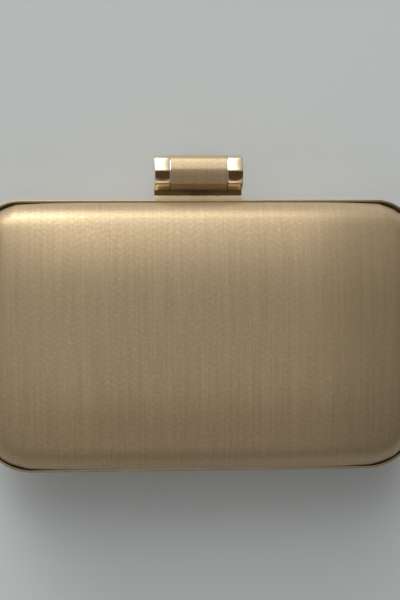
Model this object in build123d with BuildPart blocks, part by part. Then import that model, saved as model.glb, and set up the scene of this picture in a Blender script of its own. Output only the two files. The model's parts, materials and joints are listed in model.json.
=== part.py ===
from build123d import *
import math
import os

os.makedirs("parts", exist_ok=True)

# A hard box clutch that lies on its back: X runs along its width, Y towards the clasp and
# Z up out of the front face. The origin is the middle of the flat that it rests on.

# ---- Driving dimensions, in millimetres ----
body_width = 172.0
body_height = 105.0
body_depth = 46.0
top_corner_radius = 16.5
bottom_corner_radius = 21.0
edge_round = 14.0  # where a face rolls over into the side walls
crown_radius_y = 700.0  # the faces bulge gently, across the height
crown_radius_x = 2000.0  # and along the width
shoulder_radius_y = 90.0  # nearer the edges they bend down more
shoulder_radius_x = 160.0
shoulder_width_y = 37.5  # from the rim to where that starts
shoulder_width_x = 46.0
rest_flat_cut = 0.3  # the back's bulge is pressed flat by this much

# Layers of each half, from the outside in
cover_thickness = 0.8
shell_thickness = 1.8
lining_thickness = 0.4
glue_gap = 0.05  # between the fabric and the shell
lining_gap = 0.2  # between the shell and the lining's padding

# Metal frame of each half: a band outside, a web on the seam and a lip inside
seam_gap = 0.3
rim_proud = 0.9  # by which the band stands out of the fabric
band_fit = 0.05  # between the band and the fabric's side
band_height = 5.0
web_thickness = 1.0
lip_thickness = 0.6
lip_height = 3.5
seam_bevel = 0.6
band_edge_round = 0.3

# Two small butt hinges on the edge away from the clasp
hinge_spacing = 90.0
hinge_length = 16.0
hinge_axis_inset = 0.5  # from the band's outer face
knuckle_radius = 1.0
knuckle_gap = 0.15
centre_knuckle_length = 5.4
hinge_pin_radius = 0.45
hinge_pin_clearance = 0.02
hinge_notch_clearance = 0.2
leaf_thickness = 0.6
leaf_fit = 0.05
hinge_screw_spacing = 10.0
hinge_screw_head_radius = 0.65
hinge_screw_head_height = 0.35
hinge_screw_radius = 0.4
hinge_screw_length = 3.2
hinge_screw_slot_width = 0.25
hinge_screw_slot_depth = 0.15

# Clasp bar: an octagonal prism along X with a corner of its section facing the front
bar_length = 34.3
bar_across_corners = 13.9
bar_turn = 4.5  # degrees that the front corner is turned towards the far side
bar_gap = 2.3  # between the bar and the clasp plate
cap_length = 5.8
cap_wall = 2.6
cap_groove = 0.35
cap_chamfer = 0.25
sleeve_thickness = 0.7

# Clasp plate, riveted on the back frame over the seam
plate_thickness = 1.9
plate_relief = 0.3  # it stands this far off the front frame
plate_rise = 1.7  # it reaches this far in front of the seam
plate_edge_round = 0.4
plate_rivet_spacing = 15.0
plate_rivet_drop = 3.0  # from the seam
plate_rivet_radius = 0.7
plate_rivet_head_radius = 1.3
plate_rivet_head_height = 0.5
plate_rivet_length = 4.6

# Latch lever, its pivot and the bracket that carries it
pivot_inset = 6.5  # from the band's outer face
pivot_drop = 3.5  # from the seam to the back
tilt_range = 8.0  # degrees, also in the record
lever_width = 8.0
lever_thickness = 1.6
lever_barrel_radius = 1.3
lever_barrel_length = 19.6
lever_clearance = 0.3
finger_thickness = 1.0
finger_height = 6.1  # over the pivot
nose_length = 1.0
nose_thickness = 0.8
post_seat = 3.0  # how deep the post stands in the bar's core
saddle_gap = 0.6  # from the clasp plate
saddle_height = 3.2
saddle_depth = 4.4
cross_pin_radius = 0.5
cross_pin_length = 13.0
pivot_pin_radius = 0.6
pivot_pin_clearance = 0.03
pivot_pin_head_radius = 1.0
pivot_pin_head_thickness = 0.5
bracket_thickness = 0.8
bracket_foot_length = 3.6
bracket_drop = 5.6  # the bracket's lowest edge, from the seam
bracket_bridge_height = 1.8
bracket_rivet_drop = 2.5  # from the seam
bracket_rivet_radius = 0.6
bracket_rivet_head_radius = 1.1
bracket_rivet_head_height = 0.4
bracket_rivet_length = 2.8
latch_spring_thickness = 0.3
latch_spring_width = 6.0
latch_spring_length = 7.6
latch_spring_rivet_radius = 0.4
latch_spring_rivet_head_radius = 0.7
latch_spring_rivet_head_height = 0.3

# Catch on the front frame, which the lever's nose holds down
catch_thickness = 0.5
catch_width = 9.0
catch_foot_width = 21.0
catch_height = 2.6
catch_clearance = 0.3
catch_engagement = 0.6
catch_rivet_spacing = 15.0
catch_rivet_radius = 0.5
catch_rivet_head_radius = 0.9
catch_rivet_head_height = 0.35
catch_rivet_length = 2.5

# Slip pocket on the back's lining
pocket_width = 92.0
pocket_height = 52.0
pocket_offset_y = -10.0
pocket_thickness = 0.8
pocket_clearance = 0.3

# ---- Places worked out from them ----
seam_z = body_depth / 2
front_depth = body_depth - seam_z
back_depth = seam_z + rest_flat_cut
half_gap = seam_gap / 2
shell_base = half_gap + web_thickness  # from the seam to the edges of shell and cover
shell_layer = cover_thickness + glue_gap
under_shell_layer = shell_layer + shell_thickness
lining_layer = under_shell_layer + lining_gap
inside_layer = lining_layer + lining_thickness
lip_inset = rim_proud + under_shell_layer
frame_inset = lip_inset + lip_thickness
lining_base = half_gap + lip_height

band_y = body_height / 2
lip_y = band_y - frame_inset
hinge_y = hinge_axis_inset - band_y
notch_radius = knuckle_radius + hinge_notch_clearance
hinge_places = {"left": -hinge_spacing / 2, "right": hinge_spacing / 2}
side_knuckle_length = (hinge_length - centre_knuckle_length) / 2 - knuckle_gap
side_knuckle_offset = (hinge_length - side_knuckle_length) / 2
leaf_start = hinge_y + notch_radius
leaf_end = lip_inset - band_y
hinge_screw_y = (leaf_start + leaf_end) / 2

plate_y = band_y + plate_thickness
plate_drop = half_gap + band_height  # as far behind the seam as the back frame's band
bar_radius = bar_across_corners / 2
bar_y = plate_y + bar_gap + bar_radius
core_radius = bar_radius - sleeve_thickness / math.cos(math.pi / 8)
core_length = bar_length - 2 * cap_wall
sleeve_length = bar_length - 2 * (cap_length + cap_groove)

pivot_y = band_y - pivot_inset
pivot_z = seam_z - pivot_drop
# The post meets the core's lower inner facet at this place
post_entry_y = bar_y - core_radius + pivot_drop * math.tan(math.pi / 8)
post_end_y = post_entry_y + post_seat
post_lift = (plate_y - pivot_y) * math.sin(math.radians(tilt_range))
slot_width = lever_width + 2 * lever_clearance
slot_bottom = pivot_z - lever_thickness / 2 - lever_clearance
slot_top = pivot_z + lever_thickness / 2 + post_lift + lever_clearance
finger_y = pivot_y - lever_barrel_radius + finger_thickness / 2
nose_tip_y = finger_y + finger_thickness / 2 + nose_length
nose_under_z = pivot_z + finger_height - nose_thickness
ear_x = lever_barrel_length / 2 + lever_clearance + bracket_thickness / 2
foot_x = ear_x + bracket_thickness / 2 + bracket_foot_length / 2
bracket_half_length = foot_x + bracket_foot_length / 2
bracket_top = seam_z - half_gap - lever_clearance
bracket_bottom = seam_z - bracket_drop
spring_face_y = pivot_y - lever_barrel_radius - lever_clearance
bridge_face_y = spring_face_y - latch_spring_thickness
bridge_back_y = bridge_face_y - bracket_thickness
bridge_rivet_z = bracket_bottom + bracket_bridge_height / 2
catch_top_z = nose_under_z - catch_clearance
catch_tip_y = nose_tip_y - catch_engagement
catch_rivet_z = catch_top_z + (catch_height - catch_thickness) / 2


def outline(inset):
    """The bag's outline seen from the front, this far inside the metal rim's outer face."""
    Rectangle(body_width - 2 * inset, body_height - 2 * inset)
    fillet(vertices().group_by(Axis.Y)[-1], top_corner_radius - inset)
    fillet(vertices().group_by(Axis.Y)[0], bottom_corner_radius - inset)


def shoulder_points(crown, shoulder, start, half_width, layer):
    """A shoulder's start, middle and end, from the middle of a face with this crown radius."""
    lean = math.asin(start / crown)
    turn = shoulder - layer
    centre_u = (crown - shoulder) * math.sin(lean)
    centre_v = (crown - shoulder) * math.cos(lean) - (crown - layer)
    end_lean = math.asin((half_width + edge_round - centre_u) / turn)
    leans = (lean, (lean + end_lean) / 2, end_lean)
    return [(centre_u + turn * math.sin(angle), centre_v + turn * math.cos(angle)) for angle in leans]


def half_form(layer, base, depth):
    """A dome in front of the seam, this far under the fabric's face, from base upwards."""
    top_z = seam_z + depth - layer
    half_width = body_width / 2
    half_height = body_height / 2
    right = shoulder_points(
        crown_radius_x, shoulder_radius_x, half_width - shoulder_width_x, half_width, layer
    )
    right = [(x, top_z + z) for x, z in right]
    left = [(-x, z) for x, z in reversed(right)]
    far = shoulder_points(
        crown_radius_y, shoulder_radius_y, half_height - shoulder_width_y, half_height, layer
    )
    near = [(-y, z) for y, z in reversed(far)]
    with BuildPart() as form:
        with BuildLine(Plane.XZ) as along:
            ThreePointArc(*left)
            ThreePointArc(left[-1], (0, top_z), right[0])
            ThreePointArc(*right)
        with BuildSketch(Plane(along.line @ 0, x_dir=(0, 1, 0), z_dir=along.line % 0)):
            with BuildLine():
                ThreePointArc(*near)
                ThreePointArc(near[-1], (0, 0), far[0])
                ThreePointArc(*far)
                Polyline(far[-1], (far[-1][0], -2 * depth), (near[0][0], -2 * depth), near[0])
            make_face()
        sweep(path=along.line)
        with BuildSketch(Plane.XY.offset(top_z - 2 * depth)):
            outline(rim_proud + layer)
        extrude(amount=3 * depth, mode=Mode.INTERSECT)
        crowned = [face for face in form.faces() if face.normal_at().Z > 0.7]
        rim = [edge for edge in form.edges() if sum(edge in face.edges() for face in crowned) == 1]
        fillet(rim, edge_round - layer)
        split(bisect_by=Plane.XY.offset(seam_z + base))
    return form.part


def to_back(solid):
    """The same solid on the other side of the seam."""
    return solid.mirror(Plane.XY.offset(seam_z))


def save(builder, name):
    """Labels a finished piece and writes its STEP file."""
    builder.part.label = name
    export_step(builder.part, f"parts/{name}.step")


def latch_slot(inner_y, outer_y):
    """The opening that the lever's post moves in, between two places along Y."""
    middle = ((inner_y + outer_y) / 2, (slot_bottom + slot_top) / 2)
    slot = Box(slot_width, outer_y - inner_y, slot_top - slot_bottom, mode=Mode.PRIVATE)
    return Pos(0, *middle) * slot


def rivet_along_y(places, radius, length, head_radius, head_height, under_head_y, inward):
    """Round-headed rivets along Y; each head sits at under_head_y on the side away from its shank."""
    dome_radius = (head_radius**2 + head_height**2) / (2 * head_height)
    half_way = math.asin(head_radius / dome_radius) / 2
    dome_middle = (
        dome_radius * math.sin(half_way),
        dome_radius * (1 - math.cos(half_way)) - head_height,
    )
    with BuildPart() as rivets:
        for x, z in places:
            with BuildSketch(Plane((x, under_head_y, z), x_dir=(1, 0, 0), z_dir=(0, 0, inward))):
                with BuildLine():
                    Polyline((0, length), (radius, length), (radius, 0), (head_radius, 0))
                    ThreePointArc((head_radius, 0), dome_middle, (0, -head_height))
                    Line((0, -head_height), (0, length))
                make_face()
            revolve(axis=Axis((x, under_head_y, z), (0, inward, 0)))
    return rivets


def hinge_leaf(hinge_x, side, knuckles):
    """A leaf let into one seam face (side 1 is the front's), with its own knuckles."""
    middle_z = seam_z + side * (half_gap + leaf_thickness / 2)
    with BuildPart() as leaf:
        with Locations((hinge_x, (leaf_start + leaf_end) / 2, middle_z)):
            Box(hinge_length, leaf_end - leaf_start, leaf_thickness)
        for offset, length in knuckles:
            with Locations((hinge_x + offset, (hinge_y + leaf_start) / 2, middle_z)):
                Box(length, leaf_start - hinge_y, leaf_thickness)
            with Locations((hinge_x + offset, hinge_y, seam_z)):
                Cylinder(knuckle_radius, length, rotation=(0, 90, 0))
        with Locations((hinge_x, hinge_y, seam_z)):
            Cylinder(
                hinge_pin_radius + hinge_pin_clearance,
                hinge_length,
                rotation=(0, 90, 0),
                mode=Mode.SUBTRACT,
            )
        add(screw_bodies(side), mode=Mode.SUBTRACT)
    return leaf


def screw_bodies(side):
    """The countersunk screws of both hinges on one side of the seam, without their slots."""
    screws = Part()
    start_z = seam_z + side * half_gap
    for hinge_x in hinge_places.values():
        for offset in (-hinge_screw_spacing / 2, hinge_screw_spacing / 2):
            place = (hinge_x + offset, hinge_screw_y, start_z)
            with BuildPart(mode=Mode.PRIVATE) as screw:
                with BuildSketch(Plane(place, x_dir=(1, 0, 0), z_dir=(0, -side, 0))):
                    Polygon(
                        (0, 0),
                        (hinge_screw_head_radius, 0),
                        (hinge_screw_radius, hinge_screw_head_height),
                        (hinge_screw_radius, hinge_screw_length),
                        (0, hinge_screw_length),
                        align=None,
                    )
                revolve(axis=Axis(place, (0, 0, 1)))
            screws += screw.part
    return screws


def hinge_recess(side):
    """What a frame gives up for both hinges: round notches for knuckles, mortises for leaves."""
    middle_z = seam_z + side * (half_gap + leaf_thickness / 2)
    with BuildPart(mode=Mode.PRIVATE) as recess:
        for hinge_x in hinge_places.values():
            with Locations((hinge_x, hinge_y, seam_z)):
                Cylinder(notch_radius, hinge_length + 2 * knuckle_gap, rotation=(0, 90, 0))
            with Locations((hinge_x, (hinge_y + leaf_end + leaf_fit) / 2, middle_z)):
                Box(hinge_length + 2 * leaf_fit, leaf_end + leaf_fit - hinge_y, leaf_thickness)
    return recess.part


def frame_ring():
    """The front frame's ring, before hinges and latch are cut into it."""
    seam_face = Plane.XY.offset(seam_z + half_gap)
    web_face = seam_face.offset(web_thickness)
    with BuildPart(mode=Mode.PRIVATE) as ring:
        with BuildSketch(seam_face):
            outline(0)
        extrude(amount=band_height)
        with BuildSketch(web_face):
            outline(rim_proud - band_fit)
        extrude(amount=band_height, mode=Mode.SUBTRACT)
        with BuildPart(mode=Mode.PRIVATE) as lip:
            with BuildSketch(web_face):
                outline(lip_inset)
            extrude(amount=lip_height - web_thickness)
            add(front_domes["under_shell"], mode=Mode.INTERSECT)
        add(lip.part)
        with BuildSketch(seam_face):
            outline(frame_inset)
        extrude(amount=band_height, mode=Mode.SUBTRACT)
        chamfer(ring.faces().sort_by(Axis.Z)[0].outer_wire().edges(), seam_bevel)
        fillet(ring.faces().sort_by(Axis.Z)[-1].outer_wire().edges(), band_edge_round)
    return ring.part


# ---- Shared cutters ----
plate_rivet_places = [
    (x, seam_z - plate_rivet_drop) for x in (-plate_rivet_spacing / 2, plate_rivet_spacing / 2)
]
bracket_rivet_places = [(x, seam_z - bracket_rivet_drop) for x in (-foot_x, foot_x)]
catch_rivet_places = [
    (x, catch_rivet_z) for x in (-catch_rivet_spacing / 2, catch_rivet_spacing / 2)
]
clasp_plate_rivets = rivet_along_y(
    plate_rivet_places,
    plate_rivet_radius,
    plate_rivet_length,
    plate_rivet_head_radius,
    plate_rivet_head_height,
    plate_y,
    -1,
)
bracket_side_rivets = rivet_along_y(
    bracket_rivet_places,
    bracket_rivet_radius,
    bracket_rivet_length,
    bracket_rivet_head_radius,
    bracket_rivet_head_height,
    lip_y - bracket_thickness,
    1,
)
bridge_rivet = rivet_along_y(
    [(0, bridge_rivet_z)],
    latch_spring_rivet_radius,
    bracket_thickness + latch_spring_thickness,
    latch_spring_rivet_head_radius,
    latch_spring_rivet_head_height,
    bridge_back_y,
    1,
)
catch_rivets = rivet_along_y(
    catch_rivet_places,
    catch_rivet_radius,
    catch_rivet_length,
    catch_rivet_head_radius,
    catch_rivet_head_height,
    lip_y - catch_thickness,
    1,
)
back_slot = latch_slot(pivot_y, plate_y + bar_gap)
front_screws = screw_bodies(1)
back_screws = screw_bodies(-1)

# Each layer is the room between two parallel domes; a dome that is taken away starts on the seam
front_domes = {
    "cover": half_form(0, shell_base, front_depth),
    "under_cover": half_form(cover_thickness, 0, front_depth),
    "shell": half_form(shell_layer, shell_base, front_depth),
    "under_shell": half_form(under_shell_layer, 0, front_depth),
    "lining": half_form(lining_layer, lining_base, front_depth),
    "inside": half_form(inside_layer, 0, front_depth),
}
back_domes = {
    "cover": to_back(half_form(0, shell_base, back_depth)),
    "under_cover": to_back(half_form(cover_thickness, 0, back_depth)),
    "shell": to_back(half_form(shell_layer, shell_base, back_depth)),
    "under_shell": to_back(half_form(under_shell_layer, 0, back_depth)),
    "lining": to_back(half_form(lining_layer, lining_base, back_depth)),
    "inside": to_back(half_form(inside_layer, 0, back_depth)),
    "over_pocket": to_back(half_form(inside_layer + pocket_clearance, 0, back_depth)),
    "in_pocket": to_back(half_form(inside_layer + pocket_clearance + pocket_thickness, 0, back_depth)),
}

# ---- Front half, which opens ----
with BuildPart() as front_fabric_cover:
    add(front_domes["cover"])
    add(front_domes["under_cover"], mode=Mode.SUBTRACT)
save(front_fabric_cover, "front_fabric_cover")

with BuildPart() as front_shell:
    add(front_domes["shell"])
    add(front_domes["under_shell"], mode=Mode.SUBTRACT)
    add(front_screws, mode=Mode.SUBTRACT)
    add(catch_rivets.part, mode=Mode.SUBTRACT)
save(front_shell, "front_shell")

with BuildPart() as front_lining:
    add(front_domes["lining"])
    add(front_domes["inside"], mode=Mode.SUBTRACT)
save(front_lining, "front_lining")

front_ring = frame_ring()
with BuildPart() as front_frame:
    add(front_ring)
    add(hinge_recess(1), mode=Mode.SUBTRACT)
    add(front_screws, mode=Mode.SUBTRACT)
    add(catch_rivets.part, mode=Mode.SUBTRACT)
save(front_frame, "front_frame")

with BuildPart() as catch_spring:
    with Locations((0, lip_y - catch_thickness / 2, catch_top_z - catch_thickness + catch_height / 2)):
        Box(catch_foot_width, catch_thickness, catch_height)
    with Locations((0, (catch_tip_y + lip_y) / 2, catch_top_z - catch_thickness / 2)):
        Box(catch_width, lip_y - catch_tip_y, catch_thickness)
    add(catch_rivets.part, mode=Mode.SUBTRACT)
save(catch_spring, "catch_spring")
save(catch_rivets, "catch_rivets")

# ---- Back half, which rests on the table ----
with BuildPart() as back_fabric_cover:
    add(back_domes["cover"])
    add(back_domes["under_cover"], mode=Mode.SUBTRACT)
    with Locations((0, 0, -back_depth / 2)):
        Box(body_width, body_height, back_depth, mode=Mode.SUBTRACT)
    add(back_slot, mode=Mode.SUBTRACT)
    add(clasp_plate_rivets.part, mode=Mode.SUBTRACT)
save(back_fabric_cover, "back_fabric_cover")

with BuildPart() as back_shell:
    add(back_domes["shell"])
    add(back_domes["under_shell"], mode=Mode.SUBTRACT)
    add(back_slot, mode=Mode.SUBTRACT)
    add(clasp_plate_rivets.part, mode=Mode.SUBTRACT)
    add(bracket_side_rivets.part, mode=Mode.SUBTRACT)
    add(back_screws, mode=Mode.SUBTRACT)
save(back_shell, "back_shell")

with BuildPart() as back_lining:
    add(back_domes["lining"])
    add(back_domes["inside"], mode=Mode.SUBTRACT)
    add(back_slot, mode=Mode.SUBTRACT)
save(back_lining, "back_lining")

back_ring = to_back(front_ring)
with BuildPart() as back_frame:
    add(back_ring)
    add(hinge_recess(-1), mode=Mode.SUBTRACT)
    add(back_screws, mode=Mode.SUBTRACT)
    add(back_slot, mode=Mode.SUBTRACT)
    add(clasp_plate_rivets.part, mode=Mode.SUBTRACT)
    add(bracket_side_rivets.part, mode=Mode.SUBTRACT)
save(back_frame, "back_frame")

with BuildPart() as slip_pocket:
    add(back_domes["over_pocket"])
    add(back_domes["in_pocket"], mode=Mode.SUBTRACT)
    with Locations((0, pocket_offset_y, seam_z - back_depth / 2)):
        Box(pocket_width, pocket_height, back_depth, mode=Mode.INTERSECT)
save(slip_pocket, "slip_pocket")

# ---- Hinges ----
side_knuckles = [(side * side_knuckle_offset, side_knuckle_length) for side in (-1, 1)]
for name, hinge_x in hinge_places.items():
    save(hinge_leaf(hinge_x, -1, side_knuckles), f"{name}_hinge_leaf_back")
    save(hinge_leaf(hinge_x, 1, [(0, centre_knuckle_length)]), f"{name}_hinge_leaf_front")
    with BuildPart() as hinge_pin:
        with Locations((hinge_x, hinge_y, seam_z)):
            Cylinder(hinge_pin_radius, hinge_length, rotation=(0, 90, 0))
    save(hinge_pin, f"{name}_hinge_pin")

for name, side, screws in (("front", 1, front_screws), ("back", -1, back_screws)):
    with BuildPart() as hinge_screws:
        add(screws)
        for hinge_x in hinge_places.values():
            with Locations((hinge_x, hinge_screw_y, seam_z + side * half_gap)):
                Box(hinge_length, hinge_screw_slot_width, 2 * hinge_screw_slot_depth, mode=Mode.SUBTRACT)
    save(hinge_screws, f"hinge_screws_{name}")

# ---- Clasp plate ----
with BuildPart() as clasp_plate:
    with Locations((0, band_y + plate_thickness / 2, seam_z + (plate_rise - plate_drop) / 2)):
        Box(bar_length, plate_thickness, plate_rise + plate_drop)
    fillet(clasp_plate.faces().sort_by(Axis.Y)[-1].edges(), plate_edge_round)
    with Locations((0, band_y, seam_z + (plate_rise - half_gap) / 2)):
        Box(bar_length, 2 * plate_relief, plate_rise + half_gap, mode=Mode.SUBTRACT)
    add(back_slot, mode=Mode.SUBTRACT)
    add(clasp_plate_rivets.part, mode=Mode.SUBTRACT)
save(clasp_plate, "clasp_plate")
save(clasp_plate_rivets, "clasp_plate_rivets")

# ---- Latch inside the back half ----
with BuildPart() as latch_bracket:
    with Locations((0, lip_y - bracket_thickness / 2, (bracket_top + bracket_bottom) / 2)):
        Box(2 * bracket_half_length, bracket_thickness, bracket_top - bracket_bottom)
    for ear_side in (-1, 1):
        with Locations((ear_side * ear_x, (bridge_back_y + lip_y) / 2, (bracket_top + bracket_bottom) / 2)):
            Box(bracket_thickness, lip_y - bridge_back_y, bracket_top - bracket_bottom)
    with Locations((0, bridge_back_y + bracket_thickness / 2, bridge_rivet_z)):
        Box(2 * ear_x, bracket_thickness, bracket_bridge_height)
    with Locations((0, pivot_y, pivot_z)):
        Cylinder(pivot_pin_radius, 3 * ear_x, rotation=(0, 90, 0), mode=Mode.SUBTRACT)
    add(back_domes["inside"], mode=Mode.INTERSECT)
    add(back_slot, mode=Mode.SUBTRACT)
    add(bracket_side_rivets.part, mode=Mode.SUBTRACT)
    add(bridge_rivet.part, mode=Mode.SUBTRACT)
save(latch_bracket, "latch_bracket")

with BuildPart() as latch_bracket_rivets:
    add(bracket_side_rivets.part)
    add(bridge_rivet.part)
save(latch_bracket_rivets, "latch_bracket_rivets")

latch_spring_middle = (
    0,
    bridge_face_y + latch_spring_thickness / 2,
    bracket_bottom + latch_spring_length / 2,
)
with BuildPart() as latch_spring:
    with Locations(latch_spring_middle):
        Box(latch_spring_width, latch_spring_thickness, latch_spring_length)
    add(bridge_rivet.part, mode=Mode.SUBTRACT)
save(latch_spring, "latch_spring")

pin_end_x = ear_x + bracket_thickness / 2
with BuildPart() as latch_pivot_pin:
    with Locations((0, pivot_y, pivot_z)):
        Cylinder(pivot_pin_radius, 2 * pin_end_x, rotation=(0, 90, 0))
    for end in (-1, 1):
        with Locations((end * (pin_end_x + pivot_pin_head_thickness / 2), pivot_y, pivot_z)):
            Cylinder(pivot_pin_head_radius, pivot_pin_head_thickness, rotation=(0, 90, 0))
save(latch_pivot_pin, "latch_pivot_pin")

# ---- Clasp, which tilts ----
post_centre = (0, (pivot_y + post_end_y) / 2, pivot_z)
cross_pin_centre = (0, post_end_y - post_seat / 2, pivot_z)

with BuildPart() as clasp_lever:
    with Locations((0, pivot_y, pivot_z)):
        Cylinder(lever_barrel_radius, lever_barrel_length, rotation=(0, 90, 0))
    with Locations(post_centre):
        Box(lever_width, post_end_y - pivot_y, lever_thickness)
    with Locations((0, finger_y, pivot_z + finger_height / 2)):
        Box(lever_width, finger_thickness, finger_height)
    with Locations((0, nose_tip_y - nose_length / 2, nose_under_z + nose_thickness / 2)):
        Box(lever_width, nose_length, nose_thickness)
    with Locations((0, pivot_y, pivot_z)):
        Cylinder(
            pivot_pin_radius + pivot_pin_clearance,
            lever_barrel_length,
            rotation=(0, 90, 0),
            mode=Mode.SUBTRACT,
        )
    with Locations(cross_pin_centre):
        Cylinder(cross_pin_radius, lever_width, rotation=(0, 90, 0), mode=Mode.SUBTRACT)
save(clasp_lever, "clasp_lever")

with BuildPart() as clasp_saddle:
    with Locations((0, plate_y + saddle_gap + saddle_depth / 2, pivot_z)):
        Box(bar_length, saddle_depth, saddle_height)
    with BuildSketch(Plane.YZ):
        with Locations((bar_y, seam_z)):
            RegularPolygon(bar_radius, 8, rotation=-bar_turn)
    extrude(amount=bar_length, both=True, mode=Mode.SUBTRACT)
    with Locations(post_centre):
        Box(lever_width, post_end_y - pivot_y, lever_thickness, mode=Mode.SUBTRACT)
save(clasp_saddle, "clasp_saddle")

with BuildPart() as clasp_cross_pin:
    with Locations(cross_pin_centre):
        Cylinder(cross_pin_radius, cross_pin_length, rotation=(0, 90, 0))
save(clasp_cross_pin, "clasp_cross_pin")

with BuildPart() as clasp_core:
    with BuildSketch(Plane.YZ):
        with Locations((bar_y, seam_z)):
            RegularPolygon(core_radius, 8, rotation=-bar_turn)
    extrude(amount=core_length / 2, both=True)
    with Locations(post_centre):
        Box(lever_width, post_end_y - pivot_y, lever_thickness, mode=Mode.SUBTRACT)
    with Locations(cross_pin_centre):
        Cylinder(cross_pin_radius, cross_pin_length, rotation=(0, 90, 0), mode=Mode.SUBTRACT)
save(clasp_core, "clasp_core")

with BuildPart() as clasp_barrel_sleeve:
    with BuildSketch(Plane.YZ):
        with Locations((bar_y, seam_z)):
            RegularPolygon(bar_radius, 8, rotation=-bar_turn)
            RegularPolygon(core_radius, 8, rotation=-bar_turn, mode=Mode.SUBTRACT)
    extrude(amount=sleeve_length / 2, both=True)
    with Locations(post_centre):
        Box(lever_width, post_end_y - pivot_y, lever_thickness, mode=Mode.SUBTRACT)
save(clasp_barrel_sleeve, "clasp_barrel_sleeve")

for name, end in (("left", -1), ("right", 1)):
    with BuildPart() as end_cap:
        with BuildSketch(Plane.YZ.offset(end * (bar_length / 2 - cap_length))):
            with Locations((bar_y, seam_z)):
                RegularPolygon(bar_radius, 8, rotation=-bar_turn)
        extrude(amount=end * cap_length)
        outer_faces = end_cap.faces().filter_by(Axis.X)
        chamfer(outer_faces.edges(), cap_chamfer)
        with BuildSketch(Plane.YZ.offset(end * (bar_length / 2 - cap_length))):
            with Locations((bar_y, seam_z)):
                RegularPolygon(core_radius, 8, rotation=-bar_turn)
        extrude(amount=end * (cap_length - cap_wall), mode=Mode.SUBTRACT)
    save(end_cap, f"clasp_end_cap_{name}")
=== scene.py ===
import json
import math

import bmesh
import bpy
from mathutils import Matrix, Vector


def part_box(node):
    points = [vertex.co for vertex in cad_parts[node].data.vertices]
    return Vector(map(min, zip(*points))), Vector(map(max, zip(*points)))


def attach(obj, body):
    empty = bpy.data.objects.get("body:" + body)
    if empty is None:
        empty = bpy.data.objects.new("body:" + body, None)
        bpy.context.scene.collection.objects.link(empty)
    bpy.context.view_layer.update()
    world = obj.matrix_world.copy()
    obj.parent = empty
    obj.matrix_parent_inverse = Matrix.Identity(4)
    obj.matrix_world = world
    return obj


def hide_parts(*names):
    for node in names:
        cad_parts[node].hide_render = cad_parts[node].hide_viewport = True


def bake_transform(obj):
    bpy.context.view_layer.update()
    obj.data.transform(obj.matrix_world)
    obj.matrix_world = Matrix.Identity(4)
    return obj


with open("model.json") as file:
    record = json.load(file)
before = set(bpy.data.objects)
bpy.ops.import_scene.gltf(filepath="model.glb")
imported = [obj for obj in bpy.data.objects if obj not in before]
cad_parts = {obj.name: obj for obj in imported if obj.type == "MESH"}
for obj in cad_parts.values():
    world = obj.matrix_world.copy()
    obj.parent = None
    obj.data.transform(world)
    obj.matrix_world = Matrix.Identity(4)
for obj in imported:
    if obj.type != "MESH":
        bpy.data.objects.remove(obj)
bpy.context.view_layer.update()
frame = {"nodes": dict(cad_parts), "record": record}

MM = 0.001
CLOSE = 1e-7  # places nearer to each other than this count as one
MERGE = 1e-6  # vertices nearer to each other than this are joined

# ---------------------------------------------------------------- sizes read from the frame
cover_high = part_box("front_fabric_cover")[1]
back_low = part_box("back_fabric_cover")[0]
rim_low, rim_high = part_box("front_frame")
back_rim_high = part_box("back_frame")[1]
bar_low, bar_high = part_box("clasp_barrel_sleeve")
cap_low, cap_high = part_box("clasp_end_cap_right")
pocket_low, pocket_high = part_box("slip_pocket")
body_of_node = {n: b for b, ns in frame["record"]["behaviour"]["bodies"].items() for n in ns}

seam_z = (rim_low.z + back_rim_high.z) / 2
body_width = rim_high.x - rim_low.x
body_height = rim_high.y - rim_low.y
rim_proud = rim_high.y - cover_high.y
front_depth = cover_high.z - seam_z
REST_CUT = 0.3 * MM  # the back's bulge is pressed flat by this much
back_depth = seam_z - back_low.z + REST_CUT
bar_middle = (bar_low + bar_high) / 2
BAR_TURN = math.radians(4.5)  # the bar's front corner leans away from the case by this
bar_radius = (bar_high.y - bar_low.y) / 2 / math.cos(BAR_TURN)

# The case's curves, as its moulds have them
TOP_CORNER = 16.5 * MM
BOTTOM_CORNER = 21 * MM
EDGE_ROUND = 14 * MM
# Each way over a face: the crown's radius, the shoulder's, and how far from the middle that starts
CROWN_X = (2000 * MM, 160 * MM, body_width / 2 - 46 * MM)
CROWN_Y = (700 * MM, 90 * MM, body_height / 2 - 37.5 * MM)
SLOPE_STEP = 0.02 * MM  # how far either side of a place its slope is measured
ROLL_PASSES = 4  # how often the centre of the edge's roll is moved nearer to its place
WALL_SHARE = 0.9999  # a point further out than this share of the roll is on the wall
NUDGE = 1e-6  # how far out of a roll's centre the next one is looked up, to keep its way out

# Mesh steps: round a corner, over the edge's roll, along a face, on each side of the bar
CORNER_STEPS = 20
ROUND_STEPS = 14
GRID_STEP = 5 * MM
SIDE_STEPS = 8

CLOTH_THICK = 0.8 * MM
SATIN_THICK = 0.4 * MM

# The slip pocket: its cloth's thickness, how far under the case's face it lies, how far its
# face is over its floor, how far its mouth stands slack, and its mesh steps each way
POCKET_THICK = 0.6 * MM
POCKET_UNDER = 4 * MM
POCKET_LIFT = 0.5 * MM
POCKET_SLACK = 1.2 * MM
POCKET_STEPS = (46, 26)

# The clasp bar: how full its flat sides are, and how wide its caps' edges are rounded
CAP_FULLNESS = 0.15
SLEEVE_FULLNESS = 0.6
CAP_EDGE = 0.16 * MM

# The latch's leaf spring: how much of its low end is held, and how many cuts cross the rest of it
SPRING_HELD = 1.8 * MM
SPRING_STEPS = 12


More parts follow.
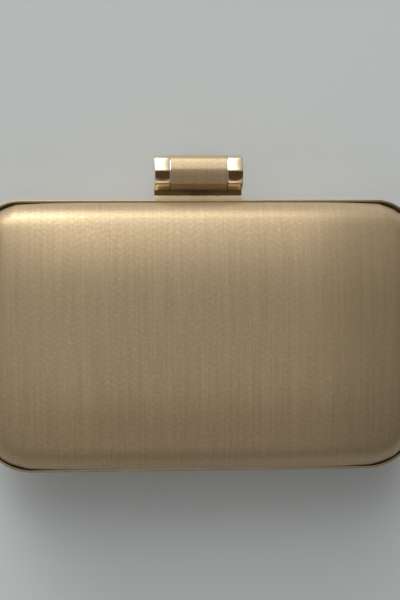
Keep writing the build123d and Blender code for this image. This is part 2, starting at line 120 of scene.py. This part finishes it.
# ---------------------------------------------------------------- node tools
def adder(tree):
    """Returns add(kind, inputs, **settings), which makes a node and sets or links its inputs."""
    def add(kind, inputs=(), **settings):
        node = tree.nodes.new("ShaderNode" + kind)
        for key, value in settings.items():
            setattr(node, key, value)
        pairs = inputs.items() if isinstance(inputs, dict) else enumerate(inputs)
        for socket, value in pairs:
            if isinstance(value, bpy.types.NodeSocket):
                tree.links.new(value, node.inputs[socket])
            elif value is not None:
                node.inputs[socket].default_value = value
        return node

    return add


def calc(add, operation, *values):
    """One Math node's result."""
    return add("Math", values, operation=operation).outputs[0]


def step_between(add, value, low, high, to_low=0.0, to_high=1.0):
    """Value carried smoothly from low..high to to_low..to_high."""
    node = add("MapRange", (value, low, high, to_low, to_high), interpolation_type="SMOOTHSTEP")
    return node.outputs[0]


def mixed(add, factor, first, second, blend="MIX"):
    """A colour mix of first and second."""
    node = add("Mix", data_type="RGBA", blend_type=blend)
    tree = node.id_data
    for index, value in ((0, factor), (6, first), (7, second)):
        if isinstance(value, bpy.types.NodeSocket):
            tree.links.new(value, node.inputs[index])
        else:
            node.inputs[index].default_value = value
    return node.outputs[2]


def noise(add, place, scale, detail, roughness=0.5):
    """Cloudy noise at a place."""
    inputs = {"Vector": place, "Scale": scale, "Detail": detail, "Roughness": roughness}
    return add("TexNoise", inputs).outputs[0]


def rescaled(add, place, scale, turn=(0.0, 0.0, 0.0)):
    """A place with each axis scaled, then turned, for patterns that run one way."""
    return add("Mapping", (place, None, turn, scale)).outputs[0]


def roughen(add, shader, height, strength, distance):
    """Links a bump of this height to a shader's normal."""
    bump = add("Bump", {"Strength": strength, "Distance": distance, "Height": height})
    bump.id_data.links.new(bump.outputs[0], shader.inputs["Normal"])


def effect(name, inputs, outputs):
    """An empty shader node group with named float or vector sockets."""
    tree = bpy.data.node_groups.new(name, "ShaderNodeTree")
    for socket_name, kind, default in inputs:
        socket = tree.interface.new_socket(socket_name, in_out="INPUT",
                                           socket_type="NodeSocket" + kind)
        if default is not None:
            socket.default_value = default
    for socket_name, kind in outputs:
        tree.interface.new_socket(socket_name, in_out="OUTPUT",
                                  socket_type="NodeSocket" + kind)
    start = tree.nodes.new("NodeGroupInput")
    end = tree.nodes.new("NodeGroupOutput")
    return tree, start.outputs, end.inputs, adder(tree)


# ---------------------------------------------------------------- shared effects
RIB_WANDER = 0.6 * MM  # how far the herringbone's ribs stray from straight
TURN_WIDTH = 0.55 * MM  # how far from a column's edge its turn still shows


def make_herringbone():
    """Woven herringbone: slanting ribs that turn at each column, thread by thread."""
    tree, start, end, add = effect(
        "Herringbone weave",
        [("Vector", "Vector", None), ("Column", "Float", 4.45 * MM), ("Rib", "Float", 2.44 * MM),
         ("Slope", "Float", 0.7), ("Thread", "Float", 0.42 * MM)],
        [("Rib", "Float"), ("Turn", "Float"), ("Streak", "Float"), ("Glint", "Float"),
         ("Height", "Float")],
    )
    parts = add("SeparateXYZ", (start["Vector"],)).outputs
    across, along = parts[0], parts[1]
    zigzag = calc(add, "PINGPONG", across, start["Column"])
    climb = calc(add, "MULTIPLY_ADD", zigzag, start["Slope"], along)
    wander = noise(add, start["Vector"], scale=160.0, detail=1.0)
    climb = calc(add, "MULTIPLY_ADD", wander, RIB_WANDER, climb)
    phase = calc(add, "MULTIPLY", calc(add, "DIVIDE", climb, start["Rib"]), 2 * math.pi)
    rib = calc(add, "MULTIPLY_ADD", calc(add, "SINE", phase), 0.5, 0.5)
    turn = step_between(add, zigzag, 0.0, TURN_WIDTH, 1.0, 0.0)
    long_way = rescaled(add, start["Vector"], (900.0, 22.0, 400.0))
    streak = noise(add, long_way, scale=1.0, detail=3.0)
    cell = rescaled(add, start["Vector"], (1500.0, 2400.0, 1500.0))
    cell_colour = add("TexVoronoi", {"Vector": cell, "Scale": 1.0}, feature="F1").outputs["Color"]
    glint = add("SeparateXYZ", (cell_colour,)).outputs[0]
    thread_phase = calc(add, "DIVIDE", 2 * math.pi, start["Thread"])
    warp = calc(add, "SINE", calc(add, "MULTIPLY", across, thread_phase))
    weft = calc(add, "SINE", calc(add, "MULTIPLY", along, thread_phase))
    threads = calc(add, "MULTIPLY_ADD", calc(add, "MULTIPLY", warp, weft), 0.5, 0.5)
    height = calc(add, "MULTIPLY_ADD", rib, 0.65, calc(add, "MULTIPLY", threads, 0.35))
    for name, value in (("Rib", rib), ("Turn", turn), ("Streak", streak), ("Glint", glint),
                        ("Height", height)):
        tree.links.new(value, end[name])
    return tree


def make_wear():
    """Fine scratches, smudges and cloudiness for plated metal."""
    tree, start, end, add = effect(
        "Plating wear",
        [("Vector", "Vector", None), ("Smudge scale", "Float", 60.0),
         ("Scratch scale", "Float", 900.0)],
        [("Smudge", "Float"), ("Scratch", "Float"), ("Cloud", "Float")],
    )
    smudge = noise(add, start["Vector"], start["Smudge scale"], detail=5.0, roughness=0.62)
    smudge = step_between(add, smudge, 0.42, 0.72)
    long_way = rescaled(add, start["Vector"], (0.06, 1.0, 1.0), turn=(0.0, 0.0, 0.3))
    scratch = noise(add, long_way, start["Scratch scale"], detail=2.0)
    cloud = noise(add, start["Vector"], scale=22.0, detail=2.0)
    for name, value in (("Smudge", smudge), ("Scratch", scratch), ("Cloud", cloud)):
        tree.links.new(value, end[name])
    return tree


def make_plain_weave():
    """A fine plain weave with slubs, for satin lining."""
    tree, start, end, add = effect(
        "Plain weave",
        [("Vector", "Vector", None), ("Thread", "Float", 0.3 * MM)],
        [("Height", "Float"), ("Slub", "Float")],
    )
    parts = add("SeparateXYZ", (start["Vector"],)).outputs
    thread_phase = calc(add, "DIVIDE", 2 * math.pi, start["Thread"])
    warp = calc(add, "SINE", calc(add, "MULTIPLY", parts[0], thread_phase))
    weft = calc(add, "SINE", calc(add, "MULTIPLY", parts[1], thread_phase))
    height = calc(add, "MULTIPLY_ADD", calc(add, "MULTIPLY", warp, weft), 0.5, 0.5)
    long_way = rescaled(add, start["Vector"], (35.0, 2200.0, 300.0))
    slub = noise(add, long_way, scale=1.0, detail=3.0)
    tree.links.new(height, end["Height"])
    tree.links.new(slub, end["Slub"])
    return tree


HERRINGBONE = make_herringbone()
WEAR = make_wear()
PLAIN_WEAVE = make_plain_weave()


# ---------------------------------------------------------------- materials
CLOTH_SHADE = (0.425, 0.31, 0.175, 1)
CLOTH_LIGHT = (0.47, 0.35, 0.205, 1)
CLOTH_RIB = (0.62, 0.49, 0.31, 1)
CLOTH_TURN = (0.66, 0.53, 0.35, 1)
CLOTH_GLINT = (0.80, 0.66, 0.45, 1)
CLOTH_SHEEN = (0.95, 0.82, 0.6, 1)
SATIN_SHADE = (0.51, 0.41, 0.275, 1)
SATIN_LIGHT = (0.56, 0.455, 0.31, 1)
BOARD_SHADE = (0.035, 0.032, 0.03, 1)
BOARD_LIGHT = (0.06, 0.055, 0.05, 1)
TABLE_COOL = (0.72, 0.765, 0.775, 1)
TABLE_WARM = (0.77, 0.79, 0.78, 1)


def material(name, **constants):
    """A material with one Principled BSDF; constants are set on its sockets."""
    made = bpy.data.materials.new(name)
    made.use_nodes = True
    tree = made.node_tree
    shader = tree.nodes["Principled BSDF"]
    for key, value in constants.items():
        shader.inputs[key.replace("_", " ")].default_value = value
    return made, tree, shader, adder(tree)


def gold_cloth():
    """Metallic gold herringbone cloth, its pattern laid by the piece's own UV map."""
    made, tree, shader, add = material("Gold herringbone cloth", Metallic=0.5, Sheen_Weight=0.25,
                                       Sheen_Roughness=0.45)
    shader.inputs["Sheen Tint"].default_value = CLOTH_SHEEN
    uv = add("UVMap", uv_map="UVMap").outputs[0]
    weave = add("Group", node_tree=HERRINGBONE)
    tree.links.new(uv, weave.inputs["Vector"])
    out = weave.outputs
    base = mixed(add, step_between(add, out["Streak"], 0.3, 0.7), CLOTH_SHADE, CLOTH_LIGHT)
    base = mixed(add, calc(add, "MULTIPLY", out["Rib"], 0.10), base, CLOTH_RIB)
    base = mixed(add, calc(add, "MULTIPLY", out["Turn"], 0.10), base, CLOTH_TURN)
    base = mixed(add, step_between(add, out["Glint"], 0.78, 1.0, 0.0, 0.16), base, CLOTH_GLINT)
    tree.links.new(base, shader.inputs["Base Color"])
    rough = calc(add, "MULTIPLY_ADD", out["Glint"], -0.08, 0.46)
    rough = calc(add, "MULTIPLY_ADD", out["Rib"], -0.04, rough)
    tree.links.new(rough, shader.inputs["Roughness"])
    roughen(add, shader, out["Height"], strength=0.1, distance=0.1 * MM)
    return made


def plated(name, colour, dull, roughness, spread, bump_strength=0.05, metallic=1.0):
    """Plated metal: a colour with dull patches, roughness wandering by spread, and scratches."""
    made, tree, shader, add = material(name, Metallic=metallic)
    place = add("TexCoord").outputs["Object"]
    wear = add("Group", node_tree=WEAR)
    tree.links.new(place, wear.inputs["Vector"])
    out = wear.outputs
    base = mixed(add, calc(add, "MULTIPLY", out["Smudge"], 0.5), colour, dull)
    tree.links.new(base, shader.inputs["Base Color"])
    rough = calc(add, "MULTIPLY_ADD", out["Smudge"], spread, roughness)
    rough = calc(add, "MULTIPLY_ADD", out["Cloud"], spread / 2, rough)
    tree.links.new(rough, shader.inputs["Roughness"])
    roughen(add, shader, out["Scratch"], bump_strength, distance=0.04 * MM)
    return made


def satin_lining():
    """Champagne satin, woven fine, with slubs along one way."""
    made, tree, shader, add = material("Champagne satin", Sheen_Weight=0.5, Sheen_Roughness=0.3)
    uv = add("UVMap", uv_map="UVMap").outputs[0]
    weave = add("Group", node_tree=PLAIN_WEAVE)
    tree.links.new(uv, weave.inputs["Vector"])
    out = weave.outputs
    base = mixed(add, step_between(add, out["Slub"], 0.35, 0.65), SATIN_SHADE, SATIN_LIGHT)
    tree.links.new(base, shader.inputs["Base Color"])
    tree.links.new(calc(add, "MULTIPLY_ADD", out["Slub"], 0.15, 0.34), shader.inputs["Roughness"])
    roughen(add, shader, out["Height"], strength=0.2, distance=0.08 * MM)
    return made


def moulded_board():
    """Dark moulded shell with a fine grain."""
    made, tree, shader, add = material("Moulded shell")
    place = add("TexCoord").outputs["Object"]
    grain = noise(add, place, scale=1400.0, detail=2.0)
    patch = noise(add, place, scale=40.0, detail=3.0)
    base = mixed(add, patch, BOARD_SHADE, BOARD_LIGHT)
    tree.links.new(base, shader.inputs["Base Color"])
    tree.links.new(calc(add, "MULTIPLY_ADD", patch, 0.2, 0.5), shader.inputs["Roughness"])
    roughen(add, shader, grain, strength=0.3, distance=0.05 * MM)
    return made


def table_top():
    """Pale, slightly cool table top, faintly cloudy."""
    made, tree, shader, add = material("Pale table top", Roughness=0.6)
    place = add("TexCoord").outputs["Object"]
    cloud = noise(add, place, scale=9.0, detail=3.0)
    tree.links.new(mixed(add, cloud, TABLE_COOL, TABLE_WARM), shader.inputs["Base Color"])
    return made


CLOTH = gold_cloth()
SATIN = satin_lining()
FRAME_GOLD = plated("Satin gold plating", (0.78, 0.60, 0.36, 1), (0.62, 0.46, 0.26, 1),
                    roughness=0.3, spread=0.16)
# Rim gold painted dark: painted shade for the shaded seam where the cloth meets the rim
SHADED_RIM_GOLD = plated("Rim plating darkened as painted shade", (0.35, 0.25, 0.125, 1), (0.28, 0.195, 0.095, 1),
                  roughness=0.18, spread=0.1)
# Clasp plate gold painted brighter than the frames': painted light for the window light on the
# plate, seen in the bar's lower facets
LIT_PLATE_GOLD = plated("Plate gold with painted light", (0.95, 0.76, 0.48, 1), (0.88, 0.69, 0.42, 1),
                    roughness=0.48, spread=0.1, metallic=0.35)
# Saddle gold painted near black-brown: painted shade for the dark gap under the clasp bar
SADDLE_PAINTED_SHADE = plated("Saddle gold with painted shade", (0.17, 0.105, 0.036, 1), (0.11, 0.066, 0.022, 1),
                     roughness=0.34, spread=0.15)
MIRROR_GOLD = plated("Polished gold plating", (0.90, 0.74, 0.50, 1), (0.84, 0.68, 0.45, 1),
                     roughness=0.05, spread=0.06, bump_strength=0.02)
STEEL = plated("Drawn steel", (0.56, 0.55, 0.53, 1), (0.40, 0.39, 0.37, 1),
               roughness=0.25, spread=0.2)
SPRING_STEEL = plated("Spring steel", (0.42, 0.43, 0.46, 1), (0.33, 0.31, 0.30, 1),
                      roughness=0.3, spread=0.15)
BAR_METAL = plated("Machined bar", (0.70, 0.70, 0.68, 1), (0.60, 0.60, 0.58, 1),
                   roughness=0.3, spread=0.1)
BOARD = moulded_board()


# ---------------------------------------------------------------- mesh tools
def merge_doubles(bm):
    """Joins the vertices that share a place."""
    bmesh.ops.remove_doubles(bm, verts=bm.verts[:], dist=MERGE)


def cut_across(bm, place, way):
    """Cuts every face that the plane at a place, square to a way, crosses."""
    bmesh.ops.bisect_plane(bm, geom=bm.verts[:] + bm.edges[:] + bm.faces[:], dist=CLOSE,
                           plane_co=place, plane_no=way)


def thicken(made, thickness):
    """Gives a sheet its cloth's thickness, behind its face."""
    wall = made.modifiers.new("Cloth thickness", "SOLIDIFY")
    wall.thickness = thickness
    wall.offset = -1


def piece_from(bm, name, finish, smooth_angle=None):
    """A linked object from bm; edges sharper than smooth_angle degrees stay sharp."""
    mesh = bpy.data.meshes.new(name)
    if smooth_angle is not None:
        limit = math.radians(smooth_angle)
        for face in bm.faces:
            face.smooth = True
        for edge in bm.edges:
            edge.smooth = len(edge.link_faces) == 2 and edge.calc_face_angle(0) < limit
    bm.to_mesh(mesh)
    bm.free()
    mesh.materials.append(finish)
    made = bpy.data.objects.new(name, mesh)
    bpy.context.scene.collection.objects.link(made)
    return made


def outline_face(bm, inset, z):
    """The case's rounded outline as one face at height z, this far inside the rim."""
    made = bmesh.ops.create_grid(bm, x_segments=1, y_segments=1, size=0.5)
    verts = made["verts"]
    bmesh.ops.scale(bm, vec=(body_width - 2 * inset, body_height - 2 * inset, 1), verts=verts)
    bmesh.ops.translate(bm, vec=(0, 0, z), verts=verts)
    for is_top, radius in ((True, TOP_CORNER), (False, BOTTOM_CORNER)):
        corners = [v for v in bm.verts if (v.co.y > 0) == is_top
                   and abs(abs(v.co.x) - body_width / 2 + inset) < CLOSE
                   and abs(abs(v.co.y) - body_height / 2 + inset) < CLOSE]
        bmesh.ops.bevel(bm, geom=corners, offset=radius - inset, affect="VERTICES",
                        segments=CORNER_STEPS, profile=0.5, material=-1)
    return bm.faces[:][0]


def arc_drop(place, arcs, layer, lowered):
    """How far a crown and its shoulders have dropped at a place this far from their middle.

    They are a layer under the cloth's face, and lowered by how far the other way's arc dropped."""
    crown, shoulder, start = arcs
    lean = math.asin(start / crown)
    radius = crown - layer - lowered
    if abs(place) <= radius * math.sin(lean):
        return crown - layer - math.sqrt(radius ** 2 - place ** 2)
    centre = (crown - shoulder) * math.sin(lean)
    depth = crown - layer - (crown - shoulder) * math.cos(lean)
    return depth - math.sqrt((shoulder - layer - lowered) ** 2 - (abs(place) - centre) ** 2)


def bulge(x, y, layer=0.0):
    """How far the crowned face has dropped at (x, y) from its middle."""
    return arc_drop(x, CROWN_X, layer, arc_drop(y, CROWN_Y, layer, 0.0))


def fall(place, layer):
    """The way and the steepness in which the face drops at a place."""
    across = (bulge(place.x + SLOPE_STEP, place.y, layer)
              - bulge(place.x - SLOPE_STEP, place.y, layer))
    along = (bulge(place.x, place.y + SLOPE_STEP, layer)
             - bulge(place.x, place.y - SLOPE_STEP, layer))
    return Vector((across, along)) / (2 * SLOPE_STEP)


def roll_place(x, y, inset, roll):
    """The centre of the edge's roll nearest to (x, y), the way out from it, and how far out.

    That distance is below zero where (x, y) is on the flatter face inside the roll."""
    corner = (TOP_CORNER if y > 0 else BOTTOM_CORNER) - inset
    core = Vector((body_width / 2 - inset - corner, body_height / 2 - inset - corner))
    near = Vector((min(max(x, -core.x), core.x), min(max(y, -core.y), core.y)))
    out = Vector((x, y)) - near
    if out.length < 1e-9:  # no way out: inside the core
        return near, Vector((0, 0)), -1.0
    past = out.length - (corner - roll)
    way = out.normalized()
    return near + way * (corner - roll), way, past


def dome_place(x, y, z, layer, inset, roll, top, base):
    """A dome's point as its place over the seam, and its unrolled place on flat cloth.

    The edge is rounded as if a ball had rolled along inside it, and the wall ends under it."""
    centre, way, past = roll_place(x, y, inset, roll)
    tilt = fall(Vector((x, y)), layer)
    seat = Vector((x, y)) - tilt * (roll / math.sqrt(1 + tilt.length_squared))
    if past < 0 or roll_place(seat.x, seat.y, inset, roll)[2] <= 0:
        return Vector((x, y, max(base, top - bulge(x, y, layer)))), Vector((x, y))
    wall_top = top - roll - bulge(centre.x, centre.y, layer + roll)
    if past > WALL_SHARE * roll:
        if wall_top < base:
            ledge = centre + way * math.sqrt(roll ** 2 - (base - wall_top) ** 2)
            return Vector((ledge.x, ledge.y, base)), centre + way * (roll * math.pi / 2)
        share = min(1.0, max(0.0, (z - base) / (top - roll - base)))
        height = base + (wall_top - base) * share
        return Vector((x, y, height)), centre + way * (roll * math.pi / 2 + wall_top - height)
    flat_place = centre + way * (roll * math.asin(past / roll))
    for _ in range(ROLL_PASSES):
        along = Vector((-way.y, way.x))
        gap = Vector((x, y)) - centre
        across = math.sqrt(max(0.0, roll ** 2 - gap.dot(way) ** 2))
        slope = -fall(centre, layer + roll).dot(along)
        moved = centre + along * (gap.dot(along) + slope * across / math.sqrt(1 + slope * slope))
        centre, way, _ = roll_place(*(moved + way * NUDGE), inset, roll)
    reach = roll ** 2 - (Vector((x, y)) - centre).length_squared
    centre_height = top - roll - bulge(centre.x, centre.y, layer + roll)
    height = centre_height + math.sqrt(max(0.0, reach))
    if height < base:
        reach_at_base = math.sqrt(max(0.0, roll ** 2 - (base - centre_height) ** 2))
        ledge = centre + way * reach_at_base
        return Vector((ledge.x, ledge.y, base)), flat_place
    return Vector((x, y, height)), flat_place


def dome(name, finish, layer, base, depth, side, thickness, flat_at=None):
    """Half of the case as a skin a layer under the cloth's face, rolled at its edge and crowned.

    side is 1 for the front and -1 for the back; base is how far from the seam its wall starts,
    and flat_at the lowest height that it may reach."""
    bm = bmesh.new()
    inset = rim_proud + layer
    roll = EDGE_ROUND - layer
    top = depth - layer
    face = outline_face(bm, inset, base)
    lifted = bmesh.ops.extrude_face_region(bm, geom=[face])
    top_face = [f for f in lifted["geom"] if isinstance(f, bmesh.types.BMFace)][0]
    bmesh.ops.translate(bm, vec=(0, 0, top - base), verts=top_face.verts[:])
    bottom = [f for f in bm.faces if all(abs(v.co.z - base) < CLOSE for v in f.verts)]
    bmesh.ops.delete(bm, geom=bottom, context="FACES_ONLY")
    bmesh.ops.bevel(bm, geom=top_face.edges[:], offset=roll, affect="EDGES", segments=ROUND_STEPS,
                    profile=0.5, material=-1, clamp_overlap=False)
    merge_doubles(bm)
    for axis, half in ((Vector((1, 0, 0)), body_width / 2), (Vector((0, 1, 0)), body_height / 2)):
        count = int(half / GRID_STEP)
        for index in range(-count, count + 1):
            cut_across(bm, axis * (index * GRID_STEP), axis)
    uv_layer = bm.loops.layers.uv.new("UVMap")
    for vert in bm.verts:
        place, flat_place = dome_place(*vert.co, layer, inset, roll, top, base)
        for loop in vert.link_loops:
            loop[uv_layer].uv = flat_place
        vert.co = (place.x, place.y, seam_z + side * place.z)
        if flat_at is not None:
            vert.co.z = max(vert.co.z, flat_at)
    if side < 0:
        bmesh.ops.reverse_faces(bm, faces=bm.faces[:])
    made = piece_from(bm, name, finish, smooth_angle=50)
    thicken(made, thickness)
    return made


def dressed(node, finish, smooth_angle=25):
    """A CAD node's own shape with clean shading: a merged copy that stands for it."""
    bm = bmesh.new()
    bm.from_mesh(frame["nodes"][node].data)
    merge_doubles(bm)
    bmesh.ops.dissolve_degenerate(bm, edges=bm.edges[:], dist=CLOSE)
    made = piece_from(bm, node + "_finished", finish, smooth_angle)
    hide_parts(node)
    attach(made, body_of_node[node])
    return made


def octagon_prism(bm, radius, low_x, high_x, fullness):
    """An eight-sided bar along X round the bar's middle.

    fullness carries its flat sides towards round: 0 is flat and 1 is round."""
    made = bmesh.ops.create_cone(bm, cap_ends=True, segments=8 * SIDE_STEPS, radius1=radius,
                                 radius2=radius, depth=high_x - low_x)
    bmesh.ops.rotate(bm, verts=made["verts"], matrix=Matrix.Rotation(math.pi / 2, 3, "Y"))
    half_side = math.pi / 8
    for vert in made["verts"]:
        angle = math.atan2(vert.co.y, vert.co.z)
        from_middle = (angle % (2 * half_side)) - half_side
        flat = math.cos(half_side) / math.cos(from_middle)
        grow = flat + (1 - flat) * fullness
        vert.co.y *= grow
        vert.co.z *= grow
    bmesh.ops.rotate(bm, verts=made["verts"], matrix=Matrix.Rotation(-BAR_TURN, 3, "X"))
    bmesh.ops.translate(bm, verts=made["verts"],
                        vec=((low_x + high_x) / 2, bar_middle.y, bar_middle.z))
    return made["verts"]


def sharp_edges(bm, limit):
    """Edges where the surface turns by more than limit degrees."""
    return [e for e in bm.edges
            if len(e.link_faces) == 2 and e.calc_face_angle(0) > math.radians(limit)]


# ---------------------------------------------------------------- camera, first, then the light
VIEW_HEIGHT = 235.3 * MM  # what the view's height spans at the seam
LENS = 85.0  # in millimetres, as is the sensor
SENSOR = 36.0
AIM = Vector((0.4 * MM, 13.7 * MM, seam_z))
TURN = math.radians(3.6)
ROLL = math.radians(-0.35)


def place_camera():
    """Looks down on the case's front, a little turned, from as far as VIEW_HEIGHT asks."""
    camera = bpy.data.cameras.new("Camera")
    camera.lens = LENS
    camera.sensor_width = SENSOR
    camera.sensor_fit = "AUTO"
    camera.clip_start = 0.01
    holder = bpy.data.objects.new("Camera", camera)
    distance = VIEW_HEIGHT * LENS / SENSOR
    turned = Matrix.Rotation(-TURN, 4, "Y") @ Matrix.Rotation(ROLL, 4, "Z")
    holder.matrix_world = Matrix.Translation(AIM) @ turned @ Matrix.Translation((0, 0, distance))
    bpy.context.scene.collection.objects.link(holder)
    bpy.context.scene.camera = holder


# Soft bright areas of the room: the way to the middle of each, its reach and its strength
GLOWS = (
    ((-0.10, 0.66, 0.73), 0.42, 2.9),
    ((-0.12, 0.86, 0.5), 0.62, 0.8),
    ((-0.28, 0.95, 0.12), 0.6, 8.5),
    ((0.0, -0.50, 0.86), 0.55, 0.7),
)
GLOW_TINT = (1.0, 0.99, 0.97)


ROOM_NEAR = (0.27, 0.25, 0.22, 1)
ROOM_FAR = (0.55, 0.565, 0.58, 1)
ROOM_RIGHT = (0.07, 0.07, 0.07, 1)
ROOM_LEFT = (0.18, 0.18, 0.18, 1)

# An onlooker over the case: the way to them once the room is squeezed, which makes them wide,
# the two distances that their edge fades between, and their colour
ONLOOKER = (0.01, -0.48, 0.876)
ONLOOKER_SQUEEZE = (0.3, 1.0, 1.0)
ONLOOKER_EDGE = (0.12, 0.155)
ONLOOKER_COLOUR = (0.07, 0.04, 0.025, 1)


def light_the_room():
    """Window light beyond the clasp, in a room that darkens to both sides, and an onlooker."""
    world = bpy.data.worlds.new("Room")
    bpy.context.scene.world = world
    world.use_nodes = True
    tree = world.node_tree
    add = adder(tree)
    way = add("TexCoord").outputs["Generated"]
    parts = add("SeparateXYZ", (way,)).outputs
    right, beyond = parts[0], parts[1]
    room = mixed(add, step_between(add, beyond, -0.9, 0.0), ROOM_NEAR, ROOM_FAR)
    room = mixed(add, step_between(add, right, -0.05, 0.5, 0.0, 0.92), room, ROOM_RIGHT)
    room = mixed(add, step_between(add, right, -0.8, -0.1, 0.75, 0.0), room, ROOM_LEFT)
    for middle, reach, strength in GLOWS:
        off = add("VectorMath", (way, middle), operation="DISTANCE").outputs["Value"]
        glow = tuple(strength * share for share in GLOW_TINT) + (1,)
        room = mixed(add, step_between(add, off, 0.0, reach, 1.0, 0.0), room,
                     mixed(add, 1.0, room, glow, "ADD"))
    squeezed = rescaled(add, way, ONLOOKER_SQUEEZE)
    off = add("VectorMath", (squeezed, ONLOOKER), operation="DISTANCE").outputs["Value"]
    onlooker = step_between(add, off, *ONLOOKER_EDGE, 1.0, 0.0)
    room = mixed(add, onlooker, room, ONLOOKER_COLOUR)
    tree.links.new(room, tree.nodes["Background"].inputs["Color"])


TABLE_REACH = 4.0  # metres from the middle to each side


def lay_table():
    """The flat table that the case rests on."""
    bm = bmesh.new()
    bmesh.ops.create_grid(bm, x_segments=1, y_segments=1, size=TABLE_REACH)
    piece_from(bm, "Table", table_top())


place_camera()
light_the_room()
lay_table()
bpy.context.scene.view_settings.view_transform = "Standard"


def wall_start(low, high, side):
    """How far from the seam a half's piece starts, from its box's two corners."""
    return low.z - seam_z if side > 0 else seam_z - high.z


def add_halves():
    """Cloth outside and satin inside, each stretched over its shell."""
    for name, side, depth, body, flat in (
        ("front", 1, front_depth, "front", None),
        ("back", -1, back_depth, "back", 0.0),  # pressed flat where it rests on the table
    ):
        low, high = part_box(name + "_fabric_cover")
        base = wall_start(low, high, side)
        cover = dome(name + "_cloth", CLOTH, 0.0, base, depth, side, CLOTH_THICK, flat)
        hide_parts(name + "_fabric_cover")
        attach(cover, body)
        low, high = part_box(name + "_lining")
        base = wall_start(low, high, side)
        layer = rim_high.x - high.x - rim_proud
        lining = dome(name + "_satin", SATIN, layer, base, depth, side, SATIN_THICK)
        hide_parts(name + "_lining")
        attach(lining, body)


add_halves()

for node, finish in (
    ("front_frame", SHADED_RIM_GOLD), ("back_frame", SHADED_RIM_GOLD),
    ("left_hinge_leaf_back", FRAME_GOLD), ("right_hinge_leaf_back", FRAME_GOLD),
    ("left_hinge_leaf_front", FRAME_GOLD), ("right_hinge_leaf_front", FRAME_GOLD),
    ("hinge_screws_front", FRAME_GOLD), ("hinge_screws_back", FRAME_GOLD),
    ("left_hinge_pin", STEEL), ("right_hinge_pin", STEEL),
    ("clasp_plate", LIT_PLATE_GOLD), ("clasp_plate_rivets", FRAME_GOLD),
    ("latch_bracket", FRAME_GOLD), ("latch_bracket_rivets", FRAME_GOLD),
    ("latch_pivot_pin", STEEL),
    ("catch_spring", SPRING_STEEL), ("catch_rivets", FRAME_GOLD),
    ("clasp_lever", FRAME_GOLD), ("clasp_saddle", SADDLE_PAINTED_SHADE),
):
    dressed(node, finish)

for node, finish in (
    ("clasp_core", BAR_METAL), ("clasp_cross_pin", STEEL),
    ("front_shell", BOARD), ("back_shell", BOARD),
):
    mesh = frame["nodes"][node].data
    mesh.materials.clear()
    mesh.materials.append(finish)


def add_latch_spring():
    """The leaf spring, riveted to the bracket at its low end and pressed by the lever's barrel,
    cut across in steps above its riveted part.
    """
    low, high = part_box("latch_spring")
    bm = bmesh.new()
    bm.from_mesh(frame["nodes"]["latch_spring"].data)
    merge_doubles(bm)
    riveted = low.z + SPRING_HELD
    for step in range(SPRING_STEPS):
        level = riveted + (high.z - riveted) * step / SPRING_STEPS
        cut_across(bm, (0, 0, level), (0, 0, 1))
    spring = piece_from(bm, "latch_spring_bent", SPRING_STEEL, smooth_angle=25)
    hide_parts("latch_spring")
    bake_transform(spring)


add_latch_spring()


# ---------------------------------------------------------------- clasp bar
def add_bar():
    """The clasp's bar: a cloth sleeve between two polished caps."""
    for name, side in (("left", -1), ("right", 1)):
        bm = bmesh.new()
        ends = sorted((side * cap_low.x, side * cap_high.x))
        octagon_prism(bm, bar_radius, ends[0], ends[1], CAP_FULLNESS)
        bmesh.ops.bevel(bm, geom=sharp_edges(bm, 20), offset=CAP_EDGE, affect="EDGES", segments=3,
                        profile=0.5, material=-1)
        cap = piece_from(bm, f"clasp_cap_{name}_polished", MIRROR_GOLD, smooth_angle=20)
        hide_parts(f"clasp_end_cap_{name}")
        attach(cap, "clasp")
    bm = bmesh.new()
    octagon_prism(bm, bar_radius, bar_low.x, bar_high.x, SLEEVE_FULLNESS)
    uv_layer = bm.loops.layers.uv.new("UVMap")
    for face in bm.faces:
        middle = face.calc_center_median() - bar_middle
        facing = math.atan2(middle.y, middle.z)
        for loop in face.loops:
            place = loop.vert.co - bar_middle
            angle = math.atan2(place.y, place.z)
            if abs(angle - facing) > math.pi:  # the other side of the cloth's seam
                angle -= math.copysign(2 * math.pi, angle - facing)
            loop[uv_layer].uv = (place.x, angle * bar_radius)
    sleeve = piece_from(bm, "clasp_bar_cloth", CLOTH, smooth_angle=40)
    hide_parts("clasp_barrel_sleeve")
    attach(sleeve, "clasp")


add_bar()


# ---------------------------------------------------------------- slip pocket
def add_pocket():
    """A flat satin pocket on the back's lining, its mouth a little slack."""
    width = pocket_high.x - pocket_low.x
    height = pocket_high.y - pocket_low.y
    middle_y = (pocket_high.y + pocket_low.y) / 2
    bm = bmesh.new()
    bmesh.ops.create_grid(bm, x_segments=POCKET_STEPS[0], y_segments=POCKET_STEPS[1], size=0.5)
    bmesh.ops.scale(bm, vec=(width, height, 1), verts=bm.verts[:])
    bmesh.ops.translate(bm, vec=(0, middle_y, 0), verts=bm.verts[:])
    uv_layer = bm.loops.layers.uv.new("UVMap")
    for face in bm.faces:
        for loop in face.loops:
            loop[uv_layer].uv = loop.vert.co.xy
    for vert in bm.verts:
        across = (vert.co.x / width) * 2
        up = (vert.co.y - middle_y) / height + 0.5
        slack = POCKET_SLACK * up ** 2 * (1 - across ** 2)
        floor = pocket_low.z + bulge(vert.co.x, vert.co.y, POCKET_UNDER)
        vert.co.z = floor + POCKET_LIFT + slack
    pocket = piece_from(bm, "slip_pocket_satin", SATIN, smooth_angle=60)
    thicken(pocket, POCKET_THICK)
    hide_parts("slip_pocket")
    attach(pocket, "back")


add_pocket()
